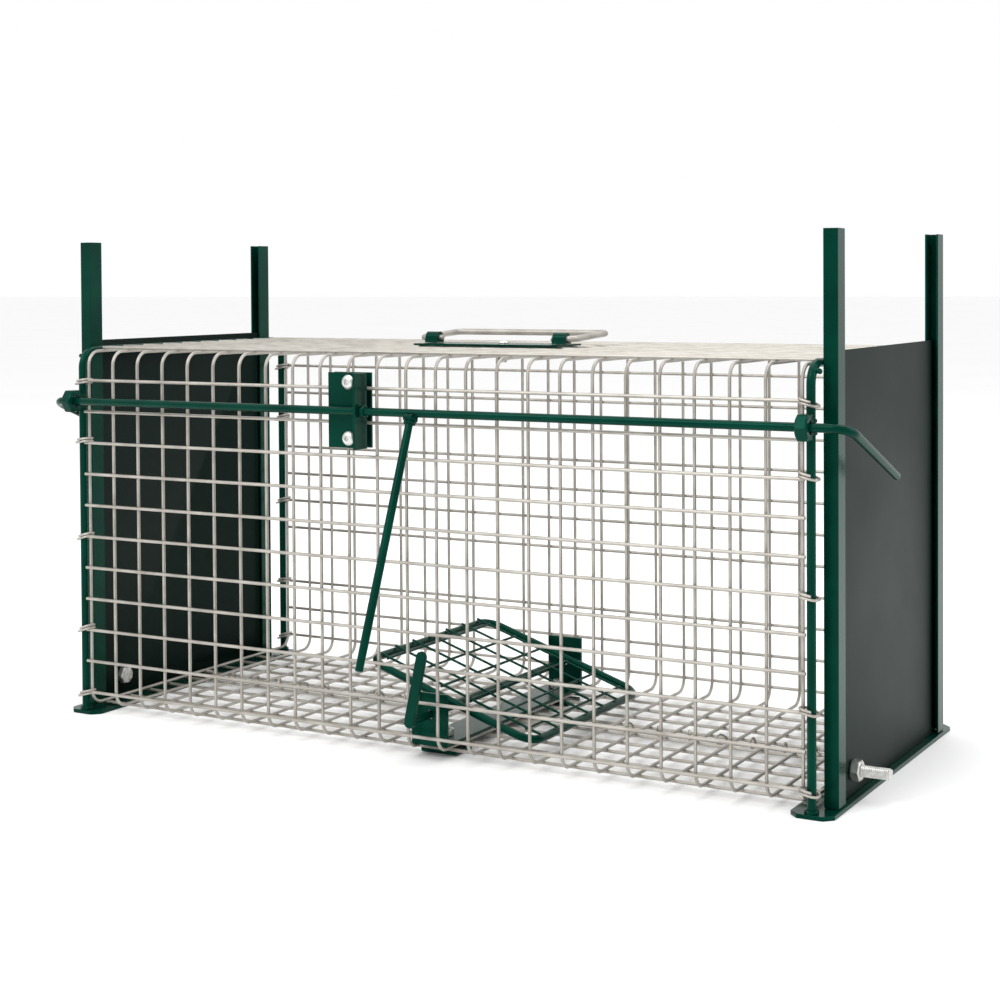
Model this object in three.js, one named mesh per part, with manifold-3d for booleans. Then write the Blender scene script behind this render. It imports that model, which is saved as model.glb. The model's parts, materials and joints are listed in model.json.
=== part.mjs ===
// A two-door live catch trap: a welded-mesh cage between two end frames, each with a drop door that
// slides in channel posts. A trip rod along the front carries a bar at each end, which holds a door's
// stud up, and an arm that the treadle's lever keeps upright. Stepping on the treadle frees the arm.
// Millimetres, +Z up, X along the cage, Y from front (-) to back (+).
import * as THREE from "three";
import { mergeVertices } from "three/addons/utils/BufferGeometryUtils.js";
import Module from "manifold-3d";

const wasm = await Module();
wasm.setup();

// ---- driving dimensions ----
const GAP = 0.3; // air left between pieces that touch
const CAGE_LENGTH = 600; // between the end cross wires
const CAGE_DEPTH = 265; // between the front and back cross wires
const CAGE_HEIGHT = 283; // between the floor and top cross wires
const WIRE = 2.5; // mesh wire
const BAR_PITCH = 50; // spacing of the modelled bars, every second wire of the mesh
const FIRST_ROW = 10; // lowest long wire of a side, above the floor's cross wires
const FLAT_ROW = 20; // first long wire of the floor and top, behind the front cross wires
const FLOOR_Z = 7.6; // centre of the floor's cross wires above the ground
const FOOT_WIDTH = 30;
const FOOT_THICK = 3;
const FOOT_PROUD = 1.75; // of a foot bar past the mesh
const HOOP_ROD = 6;
const HOOP_BEND = 14; // centreline radius of the hoop's corners
const HOOP_OFFSET = 6; // hoop centre beyond the end cross wire
const POST_HEIGHT = 378;
const POST_WIDTH = 10;
const POST_DEPTH = 14;
const POST_WALL = 1.5;
const POST_INSET = 13; // of a post's web from the cross wires
const DOOR_THICK = 1.5;
const DOOR_ABOVE = 8.2; // of the door's top above the top cross wires
const DOOR_SIDE = 16.5; // of the raised face's edge from the post's web
const DOOR_STEP = 1.6; // set-back of the lips that run in the posts
const DOOR_PLAY = 2.5; // between a lip's edge and the post's web
const STUD = 8;
const STUD_REACH = 27; // beyond the door's face
const STUD_FLATS = 13;
const STUD_NUT = 6.5;
const STUD_HEAD = 5.3;
const STUD_INSET = 81; // in front of the cage's middle
const STUD_Z = 20;
const TRIP_ROD = 6;
const TRIP_DROP = 39.1; // of the rod below the top cross wires
const TRIP_SET_BACK = 22; // degrees that the rod has turned from its set position
const TRIP_BEND = 12;
const BAR_OFFSET = 24; // far side of the right end bar beyond the door's face
const LEFT_BAR_PLAY = 1.2; // between the left end bar and the nut of the left stud
const BAR_LENGTH = 104;
const ARM_END_Z = 66.5; // of the arm when it hangs straight
const ARM_OFFSET = 12.5; // of the arm beside the middle cross wire
const BEARING_FLATS = 17;
const BEARING_THICK = 8.4;
const BEARING_BORE = 8.4;
const GUIDE_X = -50; // near the cross wire behind the rod's middle guide
const GUIDE_WIDTH = 32.5;
const GUIDE_HEIGHT = 55;
const GUIDE_LEG = 15.5;
const GUIDE_THICK = 2;
const GUIDE_SCREW = 5;
const GUIDE_SCREW_INSET = 17.9; // from the guide's left edge
const BESIDE_WIRE = 1.9; // between a wire's middle and the near side of a screw
const GUIDE_SCREW_SPREAD = 41;
const PIVOT_OFFSET = 12.5; // beside the middle cross wire
const PIVOT_Z = 31.7;
const PIVOT_ROD = 6;
const TREADLE_TILT = 18.5; // degrees, right side down
const TREADLE_LENGTH = 152;
const TREADLE_FRONT = -103;
const TREADLE_BACK = 82;
const TREADLE_ROD = 6;
const TREADLE_CORNER = 14;
const GRID_WIRE = 2;
const GRID_PITCH = 25;
const LEVER_PLAY = 1.15; // between the lever and the hanging arm
const LEVER_THICK = 3;
const LEVER_WIDTH = 8;
const LEVER_LENGTH = 49;
const LEVER_LEAN = 12.5; // degrees
const STRIP_WIDTH = 30;
const STRIP_THICK = 2.5;
const STRIP_INSET = 7.25; // of the strip's front end from the mesh
const STRIP_BACK = 90.5;
const UPRIGHT_TOP = 47.5;
const FLOOR_BOLT_INSET = 12.5; // from the first and last long wire of the floor
const FLOOR_BOLT = 6;
const CLAMP_LENGTH = 30;
const CLAMP_WIDTH = 22;
const CLAMP_THICK = 2.7;
const HANDLE_PLATE = [128, 40, 1.5];
const HANDLE_SCREW = 5;
const HANDLE_SCREW_BACK = 16.5; // behind a long wire of the top
const HANDLE_SCREW_BESIDE = 1.7; // between a wire's middle and the near side of the screw
const EAR_X = 57; // centre of an ear
const EAR_WIDTH = 11;
const EAR_RADIUS = 4.8;
const BAIL_ROD = 5;
const BAIL_REACH = 57;
const BAIL_BEND = 5;
const BAIL_RAISED = 3; // degrees above level at rest
const RING_WIRE = 1.8;
const RING_LOW = 18.4; // of the lowest tie ring above the lowest bar of a side
const RING_MIDDLE = 32.4; // of the middle tie ring above the third bar
const RING_HIGH = 10.5; // of the highest tie ring above the trip rod

// ---- materials ----
const green = new THREE.MeshStandardMaterial({ color: 0x0b4f3a, roughness: 0.3, metalness: 0.1 });
const darkGreen = new THREE.MeshStandardMaterial({ color: 0x1c2a26, roughness: 0.4, metalness: 0.1 });
const zinc = new THREE.MeshStandardMaterial({ color: 0xc2beb2, roughness: 0.45, metalness: 0.8 });
const steel = new THREE.MeshStandardMaterial({ color: 0xb4b4b0, roughness: 0.35, metalness: 0.9 });

// ---- places worked out from the sizes ----
const degrees = Math.PI / 180;
const halfLength = CAGE_LENGTH / 2;
const halfDepth = CAGE_DEPTH / 2;
const topZ = FLOOR_Z + CAGE_HEIGHT;
const meshOut = halfDepth + 1.5 * WIRE; // the mesh's outer face: cross wire, then long wire
const meshIn = halfDepth - WIRE / 2;
const floorTop = FLOOR_Z + WIRE / 2;
const floorUnder = FLOOR_Z - 1.5 * WIRE;
const roofUnder = topZ - WIRE / 2;
const roofTop = topZ + 1.5 * WIRE;
const hoopX = halfLength + HOOP_OFFSET;
const hoopY = meshOut - HOOP_ROD / 2;
const hoopTop = roofTop - HOOP_ROD / 2;
const postIn = hoopX + HOOP_ROD / 2 + GAP;
const postOut = postIn + POST_WIDTH;
const webY = halfDepth - POST_INSET;
const doorIn = (postIn + postOut) / 2 - DOOR_THICK / 2; // inner face of the door's raised face
const doorOut = doorIn + DOOR_THICK;
const tripY = -(meshOut + BEARING_FLATS / 2 + GAP);
const tripZ = topZ - TRIP_DROP;
const barX = doorOut + BAR_OFFSET - TRIP_ROD / 2;
const leftBarX = doorOut + GAP + STUD_NUT + LEFT_BAR_PLAY + TRIP_ROD / 2;
const guideBack = -(meshOut + GAP);
const leverY = tripY - TRIP_ROD / 2 - LEVER_PLAY - LEVER_THICK / 2;
const stripFront = -meshIn + STRIP_INSET;

// Places from one end towards the other, a pitch apart.
const row = (from, to, pitch) =>
  Array.from({ length: Math.floor((to - from) / pitch + 1.001) }, (_, i) => from + i * pitch);
// Places from one end to the other, evenly, as near the pitch as they can be.
const spread = (from, to, pitch) => {
  const count = Math.round((to - from) / pitch);
  return Array.from({ length: count + 1 }, (_, i) => from + ((to - from) * i) / count);
};
const nearest = (places, to) => places.reduce((a, b) => (Math.abs(b - to) < Math.abs(a - to) ? b : a));
const longBars = spread(-halfLength, halfLength, BAR_PITCH);
const sideRows = row(FLOOR_Z + FIRST_ROW, topZ - FIRST_ROW, BAR_PITCH);
const flatRows = row(-halfDepth + FLAT_ROW, halfDepth - FLAT_ROW, BAR_PITCH);
const middleBar = nearest(longBars, 0);
const pivotX = middleBar + PIVOT_OFFSET;
const floorBolts = [flatRows[0] + FLOOR_BOLT_INSET, flatRows.at(-1) - FLOOR_BOLT_INSET];
const armX = middleBar + ARM_OFFSET;
const ringHeights = [sideRows[0] + RING_LOW, sideRows[2] + RING_MIDDLE, tripZ + RING_HIGH];

// ---- tools ----
const solidOf = (geometry) => {
  const g = geometry.clone();
  g.deleteAttribute("normal");
  g.deleteAttribute("uv");
  const merged = mergeVertices(g, 1e-4);
  const triVerts = merged.index
    ? new Uint32Array(merged.index.array)
    : Uint32Array.from({ length: merged.attributes.position.count }, (_, i) => i);
  const vertProperties = merged.attributes.position.array;
  return new wasm.Manifold(new wasm.Mesh({ numProp: 3, vertProperties, triVerts }));
};
const geometryOf = (solid) => {
  const { vertProperties, triVerts } = solid.getMesh();
  return new THREE.BufferGeometry()
    .setAttribute("position", new THREE.BufferAttribute(vertProperties, 3))
    .setIndex(new THREE.BufferAttribute(triVerts, 1));
};
const join = (...pieces) => geometryOf(pieces.map(solidOf).reduce((a, b) => a.add(b)));
const cut = (body, ...tools) => geometryOf(tools.map(solidOf).reduce((a, b) => a.subtract(b), solidOf(body)));

const mesh = (name, geometry, material, parent) => {
  const m = new THREE.Mesh(geometry, material);
  m.name = name;
  m.geometry.computeVertexNormals();
  parent.add(m);
  return m;
};

// A box between two corners.
const block = (x0, x1, y0, y1, z0, z1) =>
  new THREE.BoxGeometry(x1 - x0, y1 - y0, z1 - z0).translate((x0 + x1) / 2, (y0 + y1) / 2, (z0 + z1) / 2);

// A cylinder along X, Y or Z that starts at a point.
const turnTo = { x: (g) => g.rotateZ(-Math.PI / 2), y: (g) => g, z: (g) => g.rotateX(Math.PI / 2) };
const round = (axis, diameter, length, [x, y, z], sides = 16) => {
  const g = new THREE.CylinderGeometry(diameter / 2, diameter / 2, length, sides);
  const along = { x: [length / 2, 0, 0], y: [0, length / 2, 0], z: [0, 0, length / 2] }[axis];
  return turnTo[axis](g).translate(x + along[0], y + along[1], z + along[2]);
};

// A hexagon prism, for nuts and bolt heads, with two flats facing along Y where its axis is X or Z.
const hexagon = (axis, flats, length, start) =>
  round(axis, flats / Math.cos(Math.PI / 6), length, start, 6);

// A path through stations, one step of the sweep between each pair.
class BentPath extends THREE.Curve {
  constructor(stations) {
    super();
    this.stations = stations;
  }
  getPointAt(u, target = new THREE.Vector3()) {
    return target.copy(this.stations[Math.round(u * (this.stations.length - 1))]);
  }
  getTangentAt(u, target = new THREE.Vector3()) {
    const last = this.stations.length - 1;
    const i = Math.round(u * last);
    const before = this.stations[Math.max(i - 1, 0)];
    const after = this.stations[Math.min(i + 1, last)];
    return target.subVectors(after, before).normalize();
  }
}

// The stations of a line through corners, each corner rounded to a bend radius.
const bendCorners = (corners, radius, steps = 4) => {
  const points = corners.map((c) => new THREE.Vector3(...c));
  const stations = [points[0]];
  for (let i = 1; i < points.length - 1; i++) {
    const into = points[i].clone().sub(points[i - 1]).normalize();
    const out = points[i + 1].clone().sub(points[i]).normalize();
    const turn = into.angleTo(out);
    const reach = radius * Math.tan(turn / 2);
    const start = points[i].clone().addScaledVector(into, -reach);
    const side = out.clone().addScaledVector(into, -Math.cos(turn)).normalize();
    for (let s = 0; s <= steps; s++) {
      const a = (turn * s) / steps;
      const onward = start.clone().addScaledVector(into, radius * Math.sin(a));
      stations.push(onward.addScaledVector(side, radius * (1 - Math.cos(a))));
    }
  }
  stations.push(points.at(-1));
  return stations;
};

// A round rod swept along stations.
const rod = (stations, diameter, sides = 8) => {
  const section = new THREE.Shape(
    Array.from({ length: sides }, (_, i) => {
      const a = ((i + 0.5) * 2 * Math.PI) / sides;
      return new THREE.Vector2((diameter / 2) * Math.cos(a), (diameter / 2) * Math.sin(a));
    }),
  );
  const steps = stations.length - 1;
  return new THREE.ExtrudeGeometry(section, { steps, extrudePath: new BentPath(stations) });
};

// A flat grille in the XY plane. The edges of its bars cut the plane into cells, and a cell on a bar is
// solid. Bars run on to the limits of the panel, so their ends stand free past the last crossing.
const grille = (xBars, yBars, barWidth, thick, xLimits, yLimits) => {
  const edges = (bars, [from, to]) => {
    const all = [from, ...bars.flatMap((b) => [b - barWidth / 2, b + barWidth / 2]), to];
    return all.filter((edge, i) => i === 0 || edge - all[i - 1] > 1e-6);
  };
  const xs = edges(xBars, xLimits);
  const ys = edges(yBars, yLimits);
  const onBar = (bars, list, i) => bars.some((b) => Math.abs((list[i] + list[i + 1]) / 2 - b) < barWidth / 2);
  const inside = (i, j) => i >= 0 && j >= 0 && i < xs.length - 1 && j < ys.length - 1;
  const solid = (i, j) => inside(i, j) && (onBar(xBars, xs, i) || onBar(yBars, ys, j));
  const points = [];
  const quad = (a, b, c, d) => points.push(...a, ...b, ...c, ...a, ...c, ...d);
  const wall = ([x, y], [u, v]) => quad([x, y, thick], [x, y, 0], [u, v, 0], [u, v, thick]);
  for (let i = 0; i < xs.length - 1; i++)
    for (let j = 0; j < ys.length - 1; j++) {
      if (!solid(i, j)) continue;
      const [l, r, b, t] = [xs[i], xs[i + 1], ys[j], ys[j + 1]];
      quad([l, b, thick], [r, b, thick], [r, t, thick], [l, t, thick]);
      quad([l, b, 0], [l, t, 0], [r, t, 0], [r, b, 0]);
      if (!solid(i - 1, j)) wall([l, t], [l, b]);
      if (!solid(i + 1, j)) wall([r, b], [r, t]);
      if (!solid(i, j - 1)) wall([l, b], [r, b]);
      if (!solid(i, j + 1)) wall([r, t], [l, t]);
    }
  return new THREE.BufferGeometry().setAttribute("position", new THREE.Float32BufferAttribute(points, 3));
};

// ---- end frames ----
const trap = new THREE.Group();

// One foot bar lies under each end and carries the hoop and the two posts.
function footBar(side, name) {
  const half = meshOut + FOOT_PROUD;
  const clip = 6;
  const outline = new THREE.Shape();
  const w = FOOT_WIDTH / 2;
  outline.moveTo(-w + clip, -half).lineTo(w - clip, -half).lineTo(w, -half + clip).lineTo(w, half - clip);
  outline.lineTo(w - clip, half).lineTo(-w + clip, half).lineTo(-w, half - clip).lineTo(-w, -half + clip);
  const bar = new THREE.ExtrudeGeometry(outline, { depth: FOOT_THICK, bevelEnabled: false });
  mesh(name, bar, green, trap).position.x = side * hoopX;
}

// The hoop is a rod bent to an inverted U that the end of the mesh is tied to.
function hoop(side, name) {
  const bottom = FOOT_THICK + GAP;
  const corners = [[0, -hoopY, bottom], [0, -hoopY, hoopTop], [0, hoopY, hoopTop], [0, hoopY, bottom]];
  mesh(name, rod(bendCorners(corners, HOOP_BEND, 5), HOOP_ROD), green, trap).position.x = side * hoopX;
}

// A post is a channel whose mouth faces the other post, so the door's edge runs in it.
function post(side, face, name) {
  const profile = new THREE.Shape();
  const mouth = webY - POST_DEPTH;
  profile.moveTo(postIn, face * mouth).lineTo(postIn, face * webY).lineTo(postOut, face * webY);
  profile.lineTo(postOut, face * mouth).lineTo(postOut - POST_WALL, face * mouth);
  profile.lineTo(postOut - POST_WALL, face * (webY - POST_WALL));
  profile.lineTo(postIn + POST_WALL, face * (webY - POST_WALL)).lineTo(postIn + POST_WALL, face * mouth);
  const height = POST_HEIGHT - FOOT_THICK - GAP;
  const channel = new THREE.ExtrudeGeometry(profile, { depth: height, bevelEnabled: false });
  const m = mesh(name, channel, green, trap);
  m.position.z = FOOT_THICK + GAP;
  if (side < 0) m.rotation.z = Math.PI;
}

footBar(-1, "foot_bar_left");
footBar(1, "foot_bar_right");
hoop(-1, "hoop_left");
hoop(1, "hoop_right");
post(-1, 1, "post_left_front");
post(-1, -1, "post_left_back");
post(1, -1, "post_right_front");
post(1, 1, "post_right_back");

// ---- doors ----
// A door is one folded sheet: a raised face and a lip on each side that is set back into the posts.
function door(side, name) {
  const body = new THREE.Group();
  if (side < 0) body.scale.x = -1;
  trap.add(body);
  const lip = webY - POST_WALL - DOOR_PLAY;
  const face = webY - DOOR_SIDE;
  const back = doorIn - DOOR_STEP;
  const half = [[doorOut, face], [back + DOOR_THICK, face + DOOR_STEP], [back + DOOR_THICK, lip], [back, lip]];
  const inner = [[back, face + DOOR_STEP - DOOR_THICK / 2], [doorIn, face - DOOR_THICK / 2]];
  const upper = [...half, ...inner];
  const lower = upper.map(([x, y]) => [x, -y]).reverse();
  const sheet = new THREE.ExtrudeGeometry(
    new THREE.Shape([...upper, ...lower].map((p) => new THREE.Vector2(...p))),
    { depth: topZ + DOOR_ABOVE - FOOT_THICK - GAP, bevelEnabled: false },
  ).translate(0, 0, FOOT_THICK + GAP);
  const at = [doorIn - 10, -STUD_INSET, STUD_Z];
  mesh(name + "_panel", cut(sheet, round("x", STUD + 2 * GAP + 0.2, 20, at)), darkGreen, body);
  const headStart = doorIn - GAP - STUD_HEAD;
  const shank = round("x", STUD, doorOut + STUD_REACH - doorIn + GAP, [doorIn - GAP - 0.1, -STUD_INSET, STUD_Z]);
  const head = hexagon("x", STUD_FLATS, STUD_HEAD, [headStart, -STUD_INSET, STUD_Z]);
  mesh(name + "_stud", join(head, shank), steel, body);
  const nut = hexagon("x", STUD_FLATS, STUD_NUT, [doorOut + GAP, -STUD_INSET, STUD_Z]);
  const bore = round("x", STUD + 2 * GAP, STUD_NUT + 4, [doorOut - 1, -STUD_INSET, STUD_Z]);
  mesh(name + "_stud_nut", cut(nut, bore), steel, body);
}
door(-1, "left_door");
door(1, "right_door");

// ---- mesh cage ----
// Four flat panels of welded mesh, each as thick as its two layers of wire.
const endX = halfLength + WIRE / 2;
const panel = (rows, low, high) =>
  grille(longBars, rows, WIRE, 2 * WIRE, [-endX, endX], [low, high]);
const sidePanel = () => panel(sideRows, floorTop + GAP, roofUnder - GAP).rotateX(Math.PI / 2);
const flatPanel = () => panel(flatRows, -meshOut, meshOut);
mesh("mesh_front", sidePanel(), zinc, trap).position.y = -meshIn;
mesh("mesh_back", sidePanel(), zinc, trap).position.y = meshOut;
mesh("mesh_floor", flatPanel(), zinc, trap).position.z = floorUnder;
mesh("mesh_top", flatPanel(), zinc, trap).position.z = roofUnder;

// Open rings tie the end wires of the mesh to the hoops.
function tieRing(side, face, z, name) {
  const half = (HOOP_OFFSET + WIRE / 2 + HOOP_ROD / 2) / 2 + RING_WIRE / 2 + GAP;
  const centre = halfLength - WIRE / 2 + half - RING_WIRE / 2 - GAP;
  const deep = HOOP_ROD / 2 + RING_WIRE / 2 + GAP + 0.4;
  const stations = Array.from({ length: 13 }, (_, i) => {
    const a = (-140 + (280 * i) / 12) * degrees;
    const flat = 0.72;
    const x = Math.sign(Math.cos(a)) * Math.abs(Math.cos(a)) ** flat * (half + 0.8);
    const y = Math.sign(Math.sin(a)) * Math.abs(Math.sin(a)) ** flat * (deep + 0.5);
    return new THREE.Vector3(side * (centre + x), face * hoopY + y, z);
  });
  mesh(name, rod(stations, RING_WIRE, 6), zinc, trap);
}
for (const [side, end] of [[-1, "left"], [1, "right"]])
  for (const [face, where] of [[-1, "front"], [1, "back"]])
    ringHeights.slice(face > 0 ? 1 : 0, face > 0 ? 2 : 3).forEach((z, i) =>
      tieRing(side, face, z, `tie_ring_${end}_${where}_${i + 1}`));

// ---- trip rod ----
// The bearings are hexagon nuts welded to the front legs of the hoops.
function bearing(side, name) {
  const start = [side * hoopX - BEARING_THICK / 2, tripY, tripZ];
  const nut = hexagon("x", BEARING_FLATS, BEARING_THICK, start);
  const bore = round("x", BEARING_BORE, BEARING_THICK + 2, [start[0] - 1, tripY, tripZ]);
  mesh(name, cut(nut, bore), green, trap);
}
bearing(-1, "rod_bearing_left");
bearing(1, "rod_bearing_right");

// The rod turns about X through its bearings. At rest its arm hangs out and its end bars point down.
const tripGroup = new THREE.Group();
tripGroup.position.set(0, tripY, tripZ);
tripGroup.rotation.x = -TRIP_SET_BACK * degrees;
trap.add(tripGroup);
const rodCorners = [[-leftBarX, BAR_LENGTH, 0], [-leftBarX, 0, 0], [barX, 0, 0], [barX, BAR_LENGTH, 0]];
mesh("trip_rod", rod(bendCorners(rodCorners, TRIP_BEND), TRIP_ROD), green, tripGroup);
const armLength = tripZ - ARM_END_Z;
const armStart = -(TRIP_ROD / 2 + GAP);
const arm = round("z", TRIP_ROD, armLength + armStart, [armX, 0, -armLength], 10);
mesh("trip_arm", arm, green, tripGroup);

// ---- guide that steadies the middle of the rod ----
const screwX = nearest(longBars, GUIDE_X) + BESIDE_WIRE + GUIDE_SCREW / 2;
const guideLeft = screwX - GUIDE_SCREW_INSET;
const upperScrewZ = nearest(sideRows, tripZ + GUIDE_SCREW_SPREAD / 2) + BESIDE_WIRE + GUIDE_SCREW / 2;
const guideScrewZ = [upperScrewZ - GUIDE_SCREW_SPREAD, upperScrewZ];
const guideLow = tripZ - GUIDE_HEIGHT / 2;
const guideHigh = tripZ + GUIDE_HEIGHT / 2;
const guideRight = guideLeft + GUIDE_WIDTH;
const guidePlate = (y0, y1) => block(guideLeft, guideRight, y0, y1, guideLow, guideHigh);
const guideLeg = block(
  guideRight - GUIDE_THICK, guideRight, guideBack - GUIDE_LEG, guideBack - GUIDE_THICK / 2, guideLow, guideHigh,
);
const guideSlot = round("x", TRIP_ROD + 2, 8, [guideRight - 5, tripY, tripZ]);
const guideHoles = (y) =>
  guideScrewZ.map((z) => round("y", GUIDE_SCREW + 2 * GAP, 12, [screwX, y, z], 12));
const bracket = join(guidePlate(guideBack - GUIDE_THICK, guideBack), guideLeg);
mesh("rod_guide", cut(bracket, guideSlot, ...guideHoles(guideBack - 8)), green, trap);
const backPlate = guidePlate(-meshIn + GAP, -meshIn + GAP + GUIDE_THICK);
mesh("rod_guide_back_plate", cut(backPlate, ...guideHoles(-meshIn - 5)), green, trap);

// A button-head screw goes through the guide, the mesh and the back plate to a nut inside.
function guideScrew(z, name) {
  const face = guideBack - GUIDE_THICK - GAP;
  const nutStart = -meshIn + 2 * GAP + GUIDE_THICK;
  const profile = [[0, 0], [5.6, 0], [5.5, 1], [4.6, 2.4], [3, 3.3], [2, 3.3], [2, 1.4], [0, 1.4]];
  const head = new THREE.LatheGeometry(profile.map((p) => new THREE.Vector2(...p)), 14);
  head.rotateX(Math.PI).translate(screwX, face, z);
  const shank = round("y", GUIDE_SCREW, nutStart + 6 - face, [screwX, face - 0.1, z], 12);
  mesh("guide_screw_" + name, join(head, shank), steel, trap);
  const nut = hexagon("y", 10, 4.6, [screwX, nutStart, z]);
  const bore = round("y", GUIDE_SCREW + 2 * GAP, 8, [screwX, nutStart - 1, z], 12);
  mesh("guide_nut_" + name, cut(nut, bore), steel, trap);
}
guideScrew(guideScrewZ[1], "upper");
guideScrew(guideScrewZ[0], "lower");

// ---- treadle ----
// A strip on the mesh floor is bent up at both ends to carry the treadle's pivot.
const stripLow = floorTop + GAP;
const stripHigh = stripLow + STRIP_THICK;
const stripX = [pivotX - STRIP_WIDTH / 2, pivotX + STRIP_WIDTH / 2];
const pivotHoleLength = STRIP_BACK - stripFront + 20;
const pivotHole = round("y", PIVOT_ROD + 2 * GAP, pivotHoleLength, [pivotX, stripFront - 10, PIVOT_Z], 12);
const floorHoles = floorBolts.map((y) => round("z", FLOOR_BOLT + 2 * GAP, 20, [pivotX, y, stripLow - 5], 12));
const uprightRound = 4;
const strip = join(
  block(...stripX, stripFront, STRIP_BACK, stripLow, stripHigh),
  block(...stripX, stripFront, stripFront + STRIP_THICK, stripLow, UPRIGHT_TOP),
  block(...stripX, STRIP_BACK - STRIP_THICK, STRIP_BACK, stripLow, UPRIGHT_TOP + uprightRound),
);
mesh("treadle_base", cut(strip, pivotHole, ...floorHoles), green, trap);

// A countersunk bolt holds the strip to the floor, with a plate under the mesh and a nut on the strip.
function floorClamp(y, name) {
  const high = floorUnder - GAP;
  const low = high - CLAMP_THICK;
  const half = CLAMP_LENGTH / 2;
  const plate = block(pivotX - half, pivotX + half, y - CLAMP_WIDTH / 2, y + CLAMP_WIDTH / 2, low, high);
  const turned = (profile) =>
    new THREE.LatheGeometry(profile.map((p) => new THREE.Vector2(...p)), 16)
      .rotateX(Math.PI / 2)
      .translate(pivotX, y, low);
  const headRadius = FLOOR_BOLT;
  const headHeight = FLOOR_BOLT / 2 - 0.8;
  const head = turned([[0, 0], [headRadius, 0], [FLOOR_BOLT / 2, headHeight], [0, headHeight]]);
  const wide = headRadius + GAP + 0.1;
  const narrow = FLOOR_BOLT / 2 + GAP;
  const countersink = turned([[0, -1], [wide, -1], [wide, 0.1], [narrow, headHeight], [narrow, 5], [0, 5]]);
  mesh("floor_clamp_" + name, cut(plate, countersink), green, trap);
  const nutLow = stripHigh + GAP;
  const shank = round("z", FLOOR_BOLT, nutLow + 7 - low - 1, [pivotX, y, low + 1], 12);
  mesh("floor_bolt_" + name, join(head, shank), steel, trap);
  const nut = hexagon("z", 10, 5, [pivotX, y, nutLow]);
  const bore = round("z", FLOOR_BOLT + 2 * GAP, 8, [pivotX, y, nutLow - 1]);
  mesh("floor_nut_" + name, cut(nut, bore), steel, trap);
}
floorClamp(floorBolts[0], "front");
floorClamp(floorBolts[1], "back");

// The pivot rod runs through both uprights and the front mesh, and ends in the flat trip lever.
const pivotEnd = STRIP_BACK + 6;
const pivot = round("y", PIVOT_ROD, pivotEnd - leverY, [pivotX, leverY, PIVOT_Z], 12);
const leverShape = new THREE.Shape();
const leverHalf = LEVER_WIDTH / 2;
leverShape.absarc(0, 0, leverHalf, Math.PI, 2 * Math.PI).absarc(0, LEVER_LENGTH, leverHalf, 0, Math.PI);
const lever = new THREE.ExtrudeGeometry(leverShape, { depth: LEVER_THICK, bevelEnabled: false, curveSegments: 8 })
  .rotateX(Math.PI / 2)
  .rotateY(LEVER_LEAN * degrees)
  .translate(pivotX, leverY + LEVER_THICK / 2, PIVOT_Z);
mesh("trip_lever", join(pivot, lever), green, trap);

// The treadle rests tilted on its pivot: a frame of rod, welded over the pivot, and a grid over it.
const treadle = new THREE.Group();
treadle.position.set(pivotX, 0, PIVOT_Z);
treadle.rotation.y = TREADLE_TILT * degrees;
trap.add(treadle);
const frameZ = PIVOT_ROD / 2 + GAP + TREADLE_ROD / 2;
const halfTreadle = (TREADLE_LENGTH - TREADLE_ROD) / 2;
const frameY = [TREADLE_FRONT + TREADLE_ROD / 2, TREADLE_BACK - TREADLE_ROD / 2];
const halfFrame = (sign) => {
  const start = sign > 0 ? -1 : 0;
  const corners = [
    [start, frameY[0], frameZ], [sign * halfTreadle, frameY[0], frameZ],
    [sign * halfTreadle, frameY[1], frameZ], [start, frameY[1], frameZ],
  ];
  return rod(bendCorners(corners, TREADLE_CORNER, 4), TREADLE_ROD);
};
mesh("treadle_frame", join(halfFrame(1), halfFrame(-1)), green, treadle);
const gridX = row(-2.5 * GRID_PITCH, 2.5 * GRID_PITCH, GRID_PITCH);
const gridY = row(frameY[0] + 10, frameY[1], GRID_PITCH);
const reachX = halfTreadle + 1;
const overhang = GRID_WIRE / 2 + 2;
const gridReach = [gridY[0] - overhang, gridY.at(-1) + overhang];
const gridSolid = grille(gridX, gridY, GRID_WIRE, GRID_WIRE, [-reachX, reachX], gridReach);
mesh("treadle_grid", gridSolid, green, treadle).position.z = frameZ + TREADLE_ROD / 2 + GAP;

// ---- carrying handle ----
const plateLow = roofTop + GAP;
const [plateX, plateY, plateThick] = HANDLE_PLATE;
const boltX = middleBar + HANDLE_SCREW_BESIDE + HANDLE_SCREW / 2;
const boltY = nearest(flatRows, 0) + HANDLE_SCREW_BACK;
const boltHole = round("z", HANDLE_SCREW + 2 * GAP, 30, [boltX, boltY, plateLow - 20], 12);
const handlePlate = block(-plateX / 2, plateX / 2, -plateY / 2, plateY / 2, plateLow, plateLow + plateThick);
mesh("handle_plate", cut(handlePlate, boltHole), green, trap);
const clampHigh = roofUnder - GAP;
const clampReach = 16;
const handleClamp = block(
  boltX - clampReach, boltX + clampReach, boltY - clampReach, boltY + clampReach, clampHigh - 2, clampHigh,
);
mesh("handle_clamp", cut(handleClamp, boltHole), green, trap);
const headLow = plateLow + plateThick + GAP;
const domeProfile = [[0, 0], [4.8, 0], [4.2, 1.3], [2.6, 2.3], [0, 2.6]].map((p) => new THREE.Vector2(...p));
const dome = new THREE.LatheGeometry(domeProfile, 12).rotateX(Math.PI / 2).translate(boltX, boltY, headLow);
const handleNutHigh = clampHigh - 2 - GAP;
const boltEnd = handleNutHigh - 5.5;
const boltShank = round("z", HANDLE_SCREW, headLow + 0.2 - boltEnd, [boltX, boltY, boltEnd], 12);
mesh("handle_screw", join(dome, boltShank), steel, trap);
const handleNut = hexagon("z", 8, 4, [boltX, boltY, handleNutHigh - 4]);
mesh("handle_nut", cut(handleNut, boltHole), steel, trap);
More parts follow.
